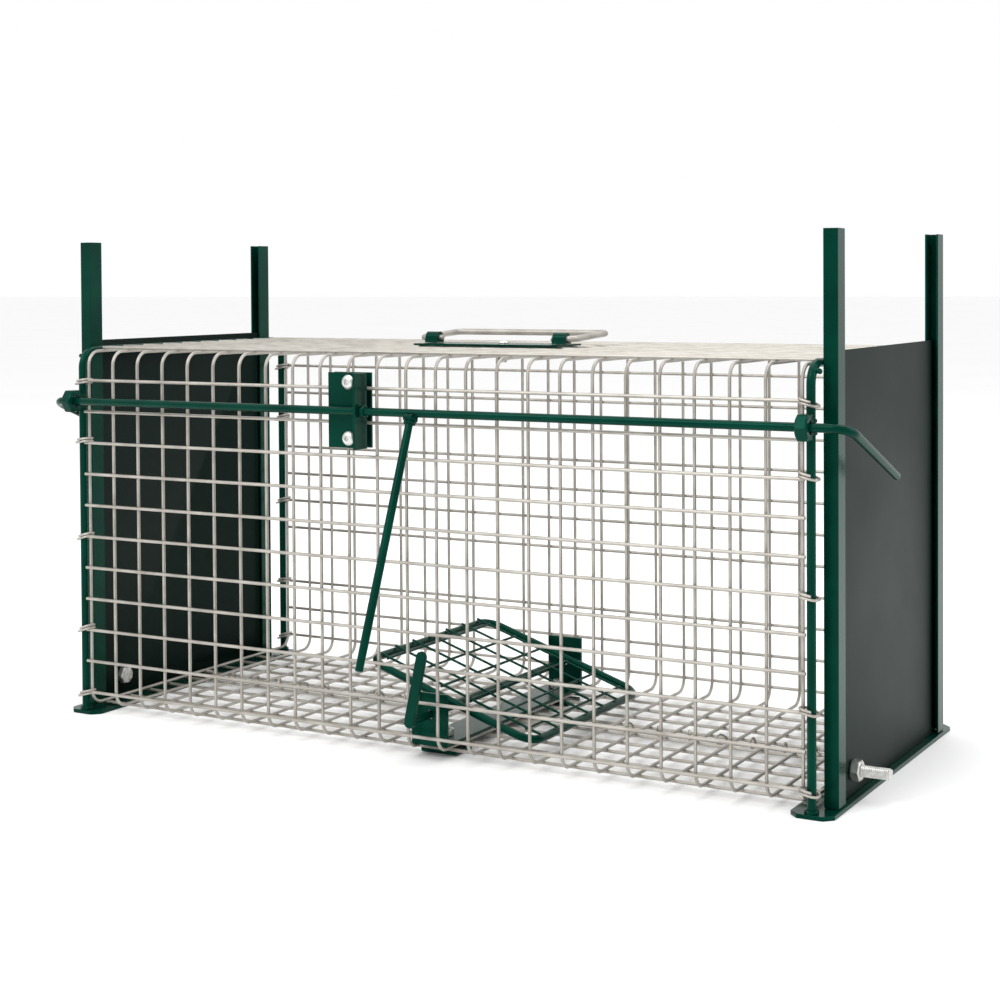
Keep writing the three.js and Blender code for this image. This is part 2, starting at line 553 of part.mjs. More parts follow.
// An ear is a half-round loop on the plate that the end of the bail turns in.
const earZ = plateLow + plateThick + GAP + EAR_RADIUS - 1;
for (const [side, name] of [[-1, "handle_ear_left"], [1, "handle_ear_right"]]) {
  const shape = new THREE.Shape();
  shape.moveTo(-EAR_RADIUS - 1, -EAR_RADIUS + 1).lineTo(EAR_RADIUS + 1, -EAR_RADIUS + 1);
  shape.lineTo(EAR_RADIUS, 0).absarc(0, 0, EAR_RADIUS, 0, Math.PI);
  shape.holes.push(new THREE.Path().absarc(0, 0, BAIL_ROD / 2 + GAP, 0, 2 * Math.PI, true));
  const ear = new THREE.ExtrudeGeometry(shape, { depth: EAR_WIDTH, bevelEnabled: false, curveSegments: 8 });
  ear.rotateX(Math.PI / 2).rotateZ(Math.PI / 2);
  mesh(name, ear, green, trap).position.set(side * EAR_X - EAR_WIDTH / 2, 0, earZ);
}
const bailX = EAR_X + EAR_WIDTH / 2 + BAIL_BEND + 1;
const pinX = EAR_X - EAR_WIDTH / 2 - 3;
const bail = [
  [-pinX, 0, 0], [-bailX, 0, 0], [-bailX, BAIL_REACH, 0], [bailX, BAIL_REACH, 0], [bailX, 0, 0], [pinX, 0, 0],
];
const bailMesh = mesh("handle_bail", rod(bendCorners(bail, BAIL_BEND, 3), BAIL_ROD), zinc, trap);
bailMesh.position.z = earZ;
bailMesh.rotation.x = BAIL_RAISED * degrees;

// The origin is the middle of the whole trap's box, at the ground.
const whole = new THREE.Box3().setFromObject(trap);
const middle = whole.getCenter(new THREE.Vector3());
trap.position.set(-middle.x, -middle.y, -whole.min.z);

export default trap;
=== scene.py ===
# %% [markdown]
# # A two-door live catch trap
# The trap is a welded-mesh cage between two end frames. Its solids come packed as a frame, with a
# body for each door, the trip rod, the treadle and the handle. This script adds what the solids leave
# out: the whole mesh of round wire, smooth rods, threads, weld beads, tie rings and the finishes.

# %% Load the frame
import json
import math

import bmesh
import bpy
import numpy as np
from mathutils import Matrix, Vector


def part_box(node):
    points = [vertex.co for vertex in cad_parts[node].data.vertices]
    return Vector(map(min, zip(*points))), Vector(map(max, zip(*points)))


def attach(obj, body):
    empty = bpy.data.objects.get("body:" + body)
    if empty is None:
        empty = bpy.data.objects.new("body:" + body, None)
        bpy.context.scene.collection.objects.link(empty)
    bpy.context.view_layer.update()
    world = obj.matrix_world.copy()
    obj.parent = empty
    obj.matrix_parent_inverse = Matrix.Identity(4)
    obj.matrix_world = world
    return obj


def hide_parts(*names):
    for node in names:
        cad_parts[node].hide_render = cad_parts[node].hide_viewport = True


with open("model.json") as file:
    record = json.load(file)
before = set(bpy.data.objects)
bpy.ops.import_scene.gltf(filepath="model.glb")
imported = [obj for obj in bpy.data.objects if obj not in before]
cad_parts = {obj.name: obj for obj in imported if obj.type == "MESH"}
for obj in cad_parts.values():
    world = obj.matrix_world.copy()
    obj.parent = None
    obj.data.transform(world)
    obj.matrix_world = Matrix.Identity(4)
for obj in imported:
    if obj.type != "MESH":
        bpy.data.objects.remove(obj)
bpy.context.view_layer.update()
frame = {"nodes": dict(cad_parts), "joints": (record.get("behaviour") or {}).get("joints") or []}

# %% [markdown]
# ## Camera
# The camera comes first, because every later choice of detail depends on what it sees. It stands low,
# in front of the right end. Its lens is shifted instead of tilted, so the posts stay upright.

# %% Set the camera
CAMERA_AT = (0.70746, -1.20444, 0.34637)
CAMERA_YAW = 0.512
CAMERA_PITCH = -0.023
CAMERA_ROLL = -0.006
CAMERA_LENS = 65.87


def camera_axes(yaw, pitch, roll):
    """Forward is +Y turned by the yaw and tipped by the pitch. Right is level, turned by the roll."""
    forward = Vector((-math.sin(yaw) * math.cos(pitch), math.cos(yaw) * math.cos(pitch), math.sin(pitch)))
    level = Vector((math.cos(yaw), math.sin(yaw), 0))
    upright = level.cross(forward)
    right = math.cos(roll) * level + math.sin(roll) * upright
    return right, right.cross(forward), forward


right, up, forward = camera_axes(CAMERA_YAW, CAMERA_PITCH, CAMERA_ROLL)
camera_data = bpy.data.cameras.new("camera")
camera_data.lens = CAMERA_LENS
camera_data.sensor_width = 36
camera_data.shift_x = -0.0062
camera_data.shift_y = -0.1788
camera_data.clip_end = 50
camera = bpy.data.objects.new("camera", camera_data)
turn = Matrix((right, up, -forward)).transposed().to_4x4()
camera.matrix_world = Matrix.Translation(CAMERA_AT) @ turn
bpy.context.scene.collection.objects.link(camera)
bpy.context.scene.camera = camera

# %% [markdown]
# ## Shader maths as Python
# A material is a graph, but its maths reads better as an expression. `Term` wraps a socket, and
# each operator adds one Math node. `Finish` owns a material and adds every other kind of node.


# %% Terms and finishes
class Term:
    """A number that varies over a surface: the output of a shader node."""

    def __init__(self, tree, socket):
        self.tree = tree
        self.socket = socket

    def math(self, operation, other=None, swap=False):
        node = self.tree.nodes.new("ShaderNodeMath")
        node.operation = operation
        values = [self, other] if not swap else [other, self]
        for slot, value in zip(node.inputs, values):
            if isinstance(value, Term):
                self.tree.links.new(value.socket, slot)
            elif value is not None:
                slot.default_value = value
        return Term(self.tree, node.outputs[0])

    def __add__(self, other):
        return self.math("ADD", other)

    def __sub__(self, other):
        return self.math("SUBTRACT", other)

    def __rsub__(self, other):
        return self.math("SUBTRACT", other, swap=True)

    def __mul__(self, other):
        return self.math("MULTIPLY", other)

    __radd__ = __add__
    __rmul__ = __mul__


class Finish:
    """A material built on one Principled surface, with nodes added by type."""

    def __init__(self, name, slot, **constants):
        self.material = bpy.data.materials.new(name)
        self.material.use_nodes = True
        self.slot = slot
        self.tree = self.material.node_tree
        self.surface = self.tree.nodes["Principled BSDF"]
        for socket, value in constants.items():
            self.surface.inputs[socket.replace("_", " ")].default_value = value
        self.place = self.add("TexCoord", out="Object")

    def new(self, kind, inputs=None):
        node = self.tree.nodes.new("ShaderNode" + kind)
        for key, value in (inputs or {}).items():
            self.feed(node.inputs[key], value)
        return node

    def add(self, kind, inputs=None, out=0):
        return Term(self.tree, self.new(kind, inputs).outputs[out])

    def feed(self, socket, value):
        if isinstance(value, Term):
            self.tree.links.new(value.socket, socket)
        else:
            socket.default_value = value

    def noise(self, scale, detail=3.0):
        inputs = {"Vector": self.place, "Scale": scale, "Detail": detail}
        return self.add("TexNoise", inputs)

    def ramp(self, factor, low, high, at=(0.3, 0.7)):
        """A colour that goes from low to high as the factor crosses the two places in `at`."""
        node = self.new("ValToRGB", {0: factor})
        for element, place, colour in zip(node.color_ramp.elements, at, (low, high)):
            element.position = place
            element.color = (*colour, 1)
        return Term(self.tree, node.outputs[0])

    def bump(self, height, strength, distance):
        inputs = {"Height": height, "Strength": strength, "Distance": distance}
        return self.add("Bump", inputs)

    def drive(self, **terms):
        for socket, value in terms.items():
            self.feed(self.surface.inputs[socket.replace("_", " ")], value)
        return self


# %% [markdown]
# ## The finishes
# Three things are painted, galvanised or plated. The frame's green enamel is thick and glossy, with the
# faint orange peel of a dipped coat. The doors carry a darker, smoother coat. The mesh wire is dull,
# off-white zinc with a mottled grain, and the fasteners are brighter.

# %% Green enamel
GREEN_TINT = (0.12, 0.72, 0.52, 1)
green = Finish("green_enamel", "green_enamel", Specular_IOR_Level=0.22, Specular_Tint=GREEN_TINT)
tone = green.noise(35)
peel = green.noise(850, 2.0)
green.drive(
    Base_Color=green.ramp(tone, (0.0002, 0.018, 0.011), (0.0004, 0.031, 0.019)),
    Roughness=tone * 0.16 + 0.14,
    Normal=green.bump(peel, 0.18, 0.0004),
)

# %% [markdown]
# The doors are sheet with a smoother coat, so dark that it reads as black. A wide, slow noise gives it
# the smears that handling leaves, which a single colour would lose.

# %% Door coat
DOOR_TINT = (0.5, 0.85, 0.75, 1)
door_coat = Finish("door_coat", "door_enamel", Specular_IOR_Level=0.1, Specular_Tint=DOOR_TINT)
smear = door_coat.noise(9, 4.0)
grain = door_coat.noise(700, 2.0)
door_coat.drive(
    Base_Color=door_coat.ramp(smear, (0.0016, 0.0055, 0.004), (0.0026, 0.0088, 0.0066)),
    Roughness=smear * 0.2 + 0.36,
    Normal=door_coat.bump(grain, 0.1, 0.0003),
)

# %% [markdown]
# Hot-dipped zinc is dull and mottled, and drags along the wire as it drains. Plated fasteners are
# cleaner and shinier. Both are part metal, with two scales of noise.

# %% Galvanised wire and zinc plate
wire_zinc = Finish("wire_zinc", "galvanised_wire", Metallic=0.55)
mottle = wire_zinc.noise(60, 5.0)
drag = wire_zinc.noise(1400, 2.0)
wire_zinc.drive(
    Base_Color=wire_zinc.ramp(mottle, (0.31, 0.29, 0.255), (0.45, 0.43, 0.39)),
    Roughness=mottle * 0.2 + 0.3,
    Normal=wire_zinc.bump(drag, 0.2, 0.0003),
)
plate_zinc = Finish("plate_zinc", "zinc_fastener", Metallic=0.85)
patch = plate_zinc.noise(240, 3.0)
plate_zinc.drive(
    Base_Color=plate_zinc.ramp(patch, (0.52, 0.52, 0.5), (0.78, 0.78, 0.76)),
    Roughness=patch * 0.25 + 0.2,
    Normal=plate_zinc.bump(patch, 0.12, 0.0003),
)

# %% [markdown]
# ## Surfaces from arrays
# A rod is a circle carried along a path, and a nut is a profile carried round an axis. Both are
# grids of points with rows and columns, so one function turns any such grid into a closed mesh.


# %% Grid and mesh helpers
MM = 0.001


def unit(vector):
    vector = np.asarray(vector, float)
    return vector / np.linalg.norm(vector)


def grid_faces(rows, columns, closed):
    """Quads between neighbouring rows. Columns wrap round, and rows do if the grid is closed."""
    i = np.arange(rows if closed else rows - 1)[:, None]
    j = np.arange(columns)[None, :]
    after = (i + 1) % rows
    beside = (j + 1) % columns
    corners = [i * columns + j, i * columns + beside, after * columns + beside, after * columns + j]
    return np.stack(np.broadcast_arrays(*corners), -1).reshape(-1, 4)


def make(name, grids, finish, body, replaces=(), sharp=35):
    """One object from (points, closed) grids. An open grid gets a flat cap at each end."""
    vertices, faces, base = [], [], 0
    for points, closed in grids:
        rows, columns = points.shape[:2]
        faces += (grid_faces(rows, columns, closed) + base).tolist()
        if not closed:
            last = base + (rows - 1) * columns
            faces.append(list(range(base, base + columns))[::-1])
            faces.append(list(range(last, last + columns)))
        vertices.append(points.reshape(-1, 3))
        base += rows * columns
    data = bpy.data.meshes.new(name)
    data.from_pydata(np.concatenate(vertices).tolist(), [], faces)
    return finish_piece(name, data, finish, body, replaces, sharp)


def finish_piece(name, data, finish, body, replaces, sharp):
    shell = bmesh.new()
    shell.from_mesh(data)
    bmesh.ops.recalc_face_normals(shell, faces=shell.faces)
    shell.to_mesh(data)
    shell.free()
    data.shade_smooth()
    data.set_sharp_from_angle(angle=math.radians(sharp))
    data.materials.clear()
    data.materials.append(finish.material)
    piece = bpy.data.objects.new(name, data)
    bpy.context.scene.collection.objects.link(piece)
    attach(piece, body)
    if replaces:
        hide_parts(*replaces)
    print(name, "on", body, "with", len(data.vertices), "points, for", ", ".join(replaces) or "no node")
    return piece


def tube(path, normal, radius, sides=16, closed=False):
    """Each row is a circle round a point of the path: the radius times the cosine along the normal and
    the sine along the side, which is the tangent crossed with the normal. The path lies flat on it."""
    path = np.asarray(path, float)
    ahead = np.roll(path, -1, 0) - np.roll(path, 1, 0) if closed else np.gradient(path, axis=0)
    tangent = ahead / np.linalg.norm(ahead, axis=1, keepdims=True)
    normal = unit(normal)
    side = np.cross(tangent, normal)
    a = np.linspace(0, 2 * np.pi, sides, endpoint=False)[None, :, None]
    size = np.broadcast_to(radius, len(path))[:, None, None]
    return path[:, None] + size * (np.cos(a) * normal + np.sin(a) * side[:, None]), closed


def turned(centre, axis, radii, heights, columns=48, closed=True):
    """Each row is a ring round the axis at its height. Its radius is a number, or a function of the angle
    for a row that isn't round."""
    axis = unit(axis)
    helper = np.array([0, 0, 1.0]) if abs(axis[2]) < 0.9 else np.array([1.0, 0, 0])
    v = unit(np.cross(axis, helper))
    u = np.cross(v, axis)
    a = np.linspace(0, 2 * np.pi, columns, endpoint=False)
    around = np.cos(a)[:, None] * u + np.sin(a)[:, None] * v
    size = np.array([np.broadcast_to(r(a) if callable(r) else r, columns) for r in radii])
    lift = np.broadcast_to(np.asarray(heights, float).reshape(len(radii), -1), size.shape)
    return np.asarray(centre) + lift[..., None] * axis + size[..., None] * around, closed


def bend(corners, radius, steps=10, closed=False):
    """The line through the corners, each rounded by an arc: from where the arc starts it goes the radius
    times the sine onward, and the radius times one less the cosine to the side."""
    corners = np.asarray(corners, float)
    before = np.roll(corners, 1, 0)
    after = np.roll(corners, -1, 0)
    out = []
    for k in range(len(corners)):
        if not closed and k in (0, len(corners) - 1):
            out.append(corners[k : k + 1])
            continue
        into = unit(corners[k] - before[k])
        onward = unit(after[k] - corners[k])
        angle = math.acos(np.clip(into @ onward, -1, 1))
        side = unit(onward - into * math.cos(angle))
        a = np.linspace(0, angle, steps)[:, None]
        start = corners[k] - into * radius * math.tan(angle / 2)
        out.append(start + radius * np.sin(a) * into + radius * (1 - np.cos(a)) * side)
    return np.concatenate(out)


def box_of(node):
    low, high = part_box(node)
    return np.array(low), np.array(high)


# %% [markdown]
# ## The welded mesh
# The real cage is one sheet of welded mesh, bent round into a tube. Cross wires go all the way
# round, and long wires lie on their outside. The frame holds only a coarse stand-in for it, so the
# whole of it is drawn here: a rounded loop every pitch, and straight wires on all four sides.

# %% Measure the mesh and draw its wires
PITCH = 25 * MM
FIRST_ROW = 10 * MM
FLAT_ROW = 20 * MM
CORNER = 11 * MM
WELD_SINK = 0.15 * MM

front_low, front_high = box_of("mesh_front")
back_low, back_high = box_of("mesh_back")
top_low, top_high = box_of("mesh_top")
floor_low, floor_high = box_of("mesh_floor")
wire = (front_high[1] - front_low[1]) / 2
middle_y = (front_low[1] + back_high[1]) / 2
loop_front = front_high[1] - wire / 2
loop_back = back_low[1] + wire / 2
loop_top = top_low[2] + wire / 2
loop_floor = floor_high[2] - wire / 2
end_wire = front_high[0] - wire / 2
print("wire", round(wire / MM, 2), "mm, end wires at", round(end_wire / MM, 1), "mm")


def evenly(low, high, pitch=PITCH):
    return np.arange(low, high + 1e-6, pitch)


def cross_wire(x):
    corners = [
        (x, loop_front, loop_floor),
        (x, loop_back, loop_floor),
        (x, loop_back, loop_top),
        (x, loop_front, loop_top),
    ]
    return tube(bend(corners, CORNER, 7, closed=True), (1, 0, 0), wire / 2, 8, closed=True)


def long_wire(y, z):
    """A straight wire along X. At each weld it sinks towards the cage by the eighth power of a cosine,
    which is near zero except close to the weld."""
    x = np.linspace(-end_wire - wire, end_wire + wire, 24 * 6 + 1)
    sink = WELD_SINK * np.cos(np.pi * x / PITCH) ** 8
    inward = np.array([0.0, np.sign(middle_y - y), 0.0])
    if not loop_floor < z < loop_top:
        inward = np.array([0.0, 0.0, 1.0 if z < loop_floor else -1.0])
    path = np.stack([x, np.full_like(x, y), np.full_like(x, z)], -1) + sink[:, None] * inward
    return tube(path, np.cross((1, 0, 0), inward), wire / 2, 8)


side_rows = evenly(loop_floor + FIRST_ROW, loop_top - FIRST_ROW)
flat_rows = evenly(loop_front + FLAT_ROW, loop_back - FLAT_ROW)
cross_places = evenly(-end_wire, end_wire)
wires = [cross_wire(x) for x in cross_places]
wires += [long_wire(loop_front - wire, z) for z in side_rows]
wires += [long_wire(loop_back + wire, z) for z in side_rows]
wires += [long_wire(y, loop_top + wire) for y in flat_rows]
wires += [long_wire(y, loop_floor - wire) for y in flat_rows]
make("mesh_wires", wires, wire_zinc, "cage", ["mesh_front", "mesh_back", "mesh_top", "mesh_floor"])
print("mesh:", len(cross_places), "cross wires and", len(wires) - len(cross_places), "long wires")

# %% [markdown]
# ## Rods
# Each hoop, the trip rod, its arm, the treadle's frame and the bail are one diameter of rod, bent in a
# plane. The frame's rods are eight-sided, so each is redrawn round on the same line, with the same bends.

# %% Hoops
ROD = 6 * MM
HOOP_BEND = 14 * MM


def draw_hoop(name):
    low, high = box_of(name)
    x = (low[0] + high[0]) / 2
    front = middle_y - (high[1] - low[1]) / 2 + (high[0] - low[0]) / 2
    back = 2 * middle_y - front
    top = high[2] - (high[0] - low[0]) / 2
    corners = [(x, front, low[2]), (x, front, top), (x, back, top), (x, back, low[2])]
    make(name + "_rod", [tube(bend(corners, HOOP_BEND, 12), (1, 0, 0), ROD / 2, 20)], green, "cage", [name])
    return x, front, back


hoops = [draw_hoop("hoop_left"), draw_hoop("hoop_right")]

# %% [markdown]
# The rod runs along the front, bent back at each end to hold a door up. Its arm is a straight piece
# welded on. Its end bars need not match, so each end is measured from the frame.

# %% Trip rod and arm
TRIP_TILT = math.radians(22)
TRIP_BEND = 12 * MM
joints = {joint["name"]: joint for joint in frame["joints"]}
trip_axis = np.array(joints["trip_rod_turn"]["pos_m"], float)
trip_low, trip_high = box_of("trip_rod")
bar_x = trip_high[0] - ROD / 2
left_bar_x = trip_low[0] + ROD / 2
bar_way = np.array([0, math.cos(TRIP_TILT), -math.sin(TRIP_TILT)])
arm_way = np.array([0, -math.sin(TRIP_TILT), -math.cos(TRIP_TILT)])
bar_length = (trip_high[1] - trip_axis[1] - ROD / 2 * math.sin(TRIP_TILT)) / math.cos(TRIP_TILT)
arm_low, arm_high = box_of("trip_arm")
arm_x = (arm_low[0] + arm_high[0]) / 2
arm_length = (trip_axis[2] - arm_low[2] - ROD / 2 * math.sin(TRIP_TILT)) / math.cos(TRIP_TILT)


def rounded_rod(path, normal, radius=ROD / 2, sides=20):
    """A tube whose ends are eased: the last three rows shrink by the square root of one less three
    quarters of the square of how far along the end they are."""
    path = np.asarray(path, float)
    t = np.array([0.98, 0.8, 0.45])
    first = unit(path[0] - path[1])
    last = unit(path[-1] - path[-2])
    inner = 0.35 * radius
    starts = path[0] - first * inner * (1 - t[:, None])
    ends = path[-1] - last * inner * (1 - t[::-1, None])
    line = np.concatenate([starts, path[1:-1] if len(path) > 2 else path[:0], ends])
    sizes = np.full(len(line), radius)
    sizes[:3] = radius * np.sqrt(1 - t**2 * 0.75)
    sizes[-3:] = radius * np.sqrt(1 - t[::-1] ** 2 * 0.75)
    return tube(line, normal, sizes, sides)


rod_origin = np.array([0, trip_axis[1], trip_axis[2]])
ends = [rod_origin + np.array([x, 0, 0]) for x in (left_bar_x, bar_x)]
rod_corners = [ends[0] + bar_length * bar_way, ends[0], ends[1], ends[1] + bar_length * bar_way]
rod_plane = np.cross((1, 0, 0), bar_way)
rod_line = bend(rod_corners, TRIP_BEND, 12)
make("trip_rod_round", [rounded_rod(rod_line, rod_plane)], green, "trip", ["trip_rod"])
arm_top = rod_origin + np.array([arm_x, 0, 0]) + arm_way * ROD * 0.4
arm_path = np.linspace(arm_top, arm_top + arm_way * (arm_length - ROD * 0.4), 8)
make("trip_arm_round", [rounded_rod(arm_path, (1, 0, 0))], green, "trip", ["trip_arm"])
print("end bars", round(bar_length / MM), "mm, arm", round(arm_length / MM), "mm")

# %% [markdown]
# Arc welds at the arm and the rod stay visible under the enamel as lumpy rings. A ring with two waves in
# its thickness is enough, since each is a few millimetres across.

# %% Weld beads
BEAD = 1.3 * MM
COLLAR_GAP = 3.2 * MM


def bead(centre, axis, ring, size=BEAD, lumps=7, seed=0):
    """A ring whose thickness swells and shrinks by two sines: a fifth of it at the number of lumps, and a
    tenth of it at thirteen to the turn."""
    a = np.linspace(0, 2 * np.pi, 40, endpoint=False)
    axis = unit(axis)
    u = unit(np.cross(axis, (0.3, 0.5, 0.81)))
    v = np.cross(axis, u)
    path = np.asarray(centre) + ring * (np.cos(a)[:, None] * u + np.sin(a)[:, None] * v)
    section = size * (1 + 0.22 * np.sin(lumps * a + seed) + 0.1 * np.sin(13 * a + 2 * seed))
    return tube(path, axis, section, 10, closed=True)


guide_high = box_of("rod_guide")[1]
collar = rod_origin + np.array([guide_high[0] + COLLAR_GAP, 0, 0])
weld_at = arm_top + arm_way * 1.6 * MM
trip_beads = [
    bead(collar, (1, 0, 0), ROD / 2 + 0.3 * MM, 1.6 * MM, 5, 1.0),
    bead(weld_at, arm_way, ROD / 2 + 0.6 * MM, 2.0 * MM, 6, 2.0),
    bead(weld_at + arm_way * 3 * MM, arm_way, ROD / 2, 1.4 * MM, 5, 4.0),
]
make("trip_welds", trip_beads, green, "trip", sharp=60)

# %% [markdown]
# ## Treadle
# The treadle is a rounded rectangle of rod with a grid of thinner wire welded on top. It rests
# tilted on its pivot. The pivot rod ends outside the mesh in a flat lever with rounded ends.

# %% Treadle frame and grid
TREADLE_TILT = math.radians(18.5)
TREADLE_CORNER = 14 * MM
TREADLE_LENGTH = 152 * MM
GRID_WIRE = 2 * MM
GRID_PITCH = 25 * MM
GAP = 0.3 * MM
pivot = np.array(joints["treadle_tilt"]["pos_m"], float)
level = np.array([math.cos(TREADLE_TILT), 0, -math.sin(TREADLE_TILT)])
above = np.array([math.sin(TREADLE_TILT), 0, math.cos(TREADLE_TILT)])
frame_low, frame_high = box_of("treadle_frame")
frame_up = ROD + GAP
half_treadle = (TREADLE_LENGTH - ROD) / 2


def on_treadle(along, y, raised):
    """A point of the tilted treadle: along its length, at a row's y, raised off the pivot's axis."""
    along, y, raised = np.broadcast_arrays(along, y, raised)
    base = np.array([pivot[0], 0, pivot[2]])
    across = np.array([0, 1, 0])
    return base + along[..., None] * level + y[..., None] * across + raised[..., None] * above


front_rail = frame_low[1] + ROD / 2
back_rail = frame_high[1] - ROD / 2
frame_corners = on_treadle(
    np.array([-1, 1, 1, -1]) * half_treadle,
    np.array([front_rail, front_rail, back_rail, back_rail]),
    frame_up,
)
frame_line = bend(frame_corners, TREADLE_CORNER, 9, closed=True)
make("treadle_rail", [tube(frame_line, above, ROD / 2, 20, closed=True)], green, "treadle", ["treadle_frame"])
grid_low, grid_high = box_of("treadle_grid")
grid_up = frame_up + ROD / 2 + GAP
grid_alongs = np.arange(-2.5, 2.6) * GRID_PITCH
grid_rows = evenly(front_rail + FIRST_ROW, back_rail, GRID_PITCH)
reach = half_treadle + 1 * MM
grid_wires = []
for y in grid_rows:
    path = on_treadle(np.linspace(-reach, reach, 30), y, grid_up + GRID_WIRE / 2)
    grid_wires.append(tube(path, above, GRID_WIRE / 2, 8))
grid_ends = (grid_low[1] + 0.5 * MM, grid_high[1] - 0.5 * MM)
for along in grid_alongs:
    path = on_treadle(along, np.linspace(*grid_ends, 20), grid_up + GRID_WIRE * 0.4)
    grid_wires.append(tube(path, above, GRID_WIRE / 2, 8))
make("treadle_wires", grid_wires, green, "treadle", ["treadle_grid"])

# %% [markdown]
# The lever is flat bar with rounded ends. An outline carried through its thickness, with a narrower
# first and last row, gives it the eased edge that catches the light.

# %% Pivot rod and lever
LEVER_LEAN = math.radians(12.5)
LEVER_WIDE = 8 * MM
LEVER_THICK = 3 * MM
LEVER_LONG = 49 * MM
lever_low, lever_high = box_of("trip_lever")
lever_up = np.array([math.sin(LEVER_LEAN), 0, math.cos(LEVER_LEAN)])
lever_across = np.array([math.cos(LEVER_LEAN), 0, -math.sin(LEVER_LEAN)])


def flat_bar(start, along, across, length, width, thick):
    """A stadium outline in the plane of along and across, carried through the thickness with eased edges."""
    a = np.linspace(0, np.pi, 13)
    low = np.stack([-np.cos(a), -np.sin(a)], -1) * width / 2
    high = np.stack([np.cos(a), np.sin(a)], -1) * width / 2 + (0, length)
    outline = np.concatenate([low, high])
    through = np.cross(across, along)
    middle = np.array([0, length / 2])
    rows = []
    for depth, shrink in ((0, 0.5 * MM), (0.5 * MM, 0), (thick - 0.5 * MM, 0), (thick, 0.5 * MM)):
        pull = (outline - middle) * (1 - shrink / np.array([width / 2, (length + width) / 2])) + middle
        rows.append(start + pull[:, :1] * across + pull[:, 1:] * along + depth * through)
    return np.stack(rows), False


lever_start = np.array([pivot[0], lever_low[1] + LEVER_THICK, pivot[2]])
lever = flat_bar(lever_start, lever_up, lever_across, LEVER_LONG, LEVER_WIDE, LEVER_THICK)
pivot_path = np.linspace(
    (pivot[0], lever_low[1] + 1 * MM, pivot[2]),
    (pivot[0], lever_high[1], pivot[2]),
    6,
)
pivot_rod = rounded_rod(pivot_path, (1, 0, 0))
lever_weld_at = (pivot[0], lever_low[1] + LEVER_THICK + 0.6 * MM, pivot[2])
lever_weld = bead(lever_weld_at, (0, 1, 0), ROD / 2 + 0.2 * MM)
make("trip_lever_flat", [lever, pivot_rod, lever_weld], green, "treadle", ["trip_lever"])
print("treadle rail y from", round(front_rail / MM), "to", round(back_rail / MM), "mm")

# %% [markdown]
# ## Handle
# The bail is plated rod, folded back on the mesh. Its two ends turn inwards, through the plate's ears.

# %% Bail
BAIL_ROD = 5 * MM
BAIL_BEND = 5 * MM
BAIL_RAISED = math.radians(3)
bail_axis = np.array(joints["handle_swing"]["pos_m"], float)
bail_low, bail_high = box_of("handle_bail")
ear_low, ear_high = box_of("handle_ear_right")
bail_reach = (bail_high[1] - bail_axis[1] - BAIL_ROD / 2) / math.cos(BAIL_RAISED)
bail_side = bail_high[0] - BAIL_ROD / 2
bail_back = bail_reach * np.array([0, math.cos(BAIL_RAISED), math.sin(BAIL_RAISED)])
pin_end = ear_low[0] - 3 * MM
bail_corners = [
    bail_axis + np.array([x, 0, 0]) + back
    for x, back in (
        (-pin_end, 0 * bail_back),
        (-bail_side, 0 * bail_back),
        (-bail_side, bail_back),
        (bail_side, bail_back),
        (bail_side, 0 * bail_back),
        (pin_end, 0 * bail_back),
    )
]
bail_plane = np.cross((1, 0, 0), bail_back)
bail_line = bend(bail_corners, BAIL_BEND, 9)
make("bail_round", [rounded_rod(bail_line, bail_plane, BAIL_ROD / 2)], wire_zinc, "handle", ["handle_bail"])

# %% [markdown]
# ## Tie rings
# Open rings of soft wire, closed with pliers, tie the mesh's end wires to the hoops. Each is a squarish
# loop round both. The frame carries a few of them, and the rest are added at the other rows.

# %% Rings on the hoops
RING_WIRE = 1.9 * MM
RING_ROUND = 0.72
RING_TURN = 1.6
RING_HEIGHTS = np.array([16, 68, 142, 219, 266]) * MM


def tie_ring(centre, half_x, half_y, lean, turns=RING_TURN):
    """A squarish coil: x and y follow the cosine and sine to the power 0.72, while z climbs one wire a
    turn and leans with x."""
    a = np.linspace(-np.pi * turns, np.pi * turns, 52)
    x = half_x * np.sign(np.cos(a)) * np.abs(np.cos(a)) ** RING_ROUND
    y = half_y * np.sign(np.sin(a)) * np.abs(np.sin(a)) ** RING_ROUND
    path = np.asarray(centre) + np.stack([x, y, lean * x + 1.15 * RING_WIRE * a / (2 * np.pi)], -1)
    return tube(path, (0, 0, 1), RING_WIRE / 2, 8)


ring_nodes = sorted(n for n in frame["nodes"] if n.startswith("tie_ring"))
ring_low, ring_high = box_of(ring_nodes[-1])
half_x = (ring_high[0] - ring_low[0] - RING_WIRE) / 2
half_y = (ring_high[1] - ring_low[1] - RING_WIRE) / 2
chance = np.random.default_rng(7)
rings = []
for hoop_x, front, back in hoops:
    side = np.sign(hoop_x)
    ring_x = side * ((ring_high[0] + ring_low[0]) / 2)
    for y in (front, back):
        for z in RING_HEIGHTS:
            lean = -side * chance.uniform(0.15, 0.42)
            rings.append(tie_ring((ring_x, y, z), side * half_x, half_y, lean))
make("tie_rings", rings, wire_zinc, "cage", ring_nodes)

# %% [markdown]
# The sheet's two edges meet along the middle of the floor. There they lie on one another, and short
# clips of the same wire are crimped round both, one in every cell.

# %% Seam clips
SEAM_GAP = 1.5 * MM
CLIP_HALF = (4.2 * MM, 3.6 * MM)
TREADLE_ROOM = 90 * MM
seam_z = loop_floor - wire
seam = [long_wire(middle_y + offset, seam_z) for offset in (-SEAM_GAP, SEAM_GAP)]
cell_middles = cross_places[:-1] + PITCH / 2
clip_places = [x for x in cell_middles if abs(x - pivot[0]) > TREADLE_ROOM]


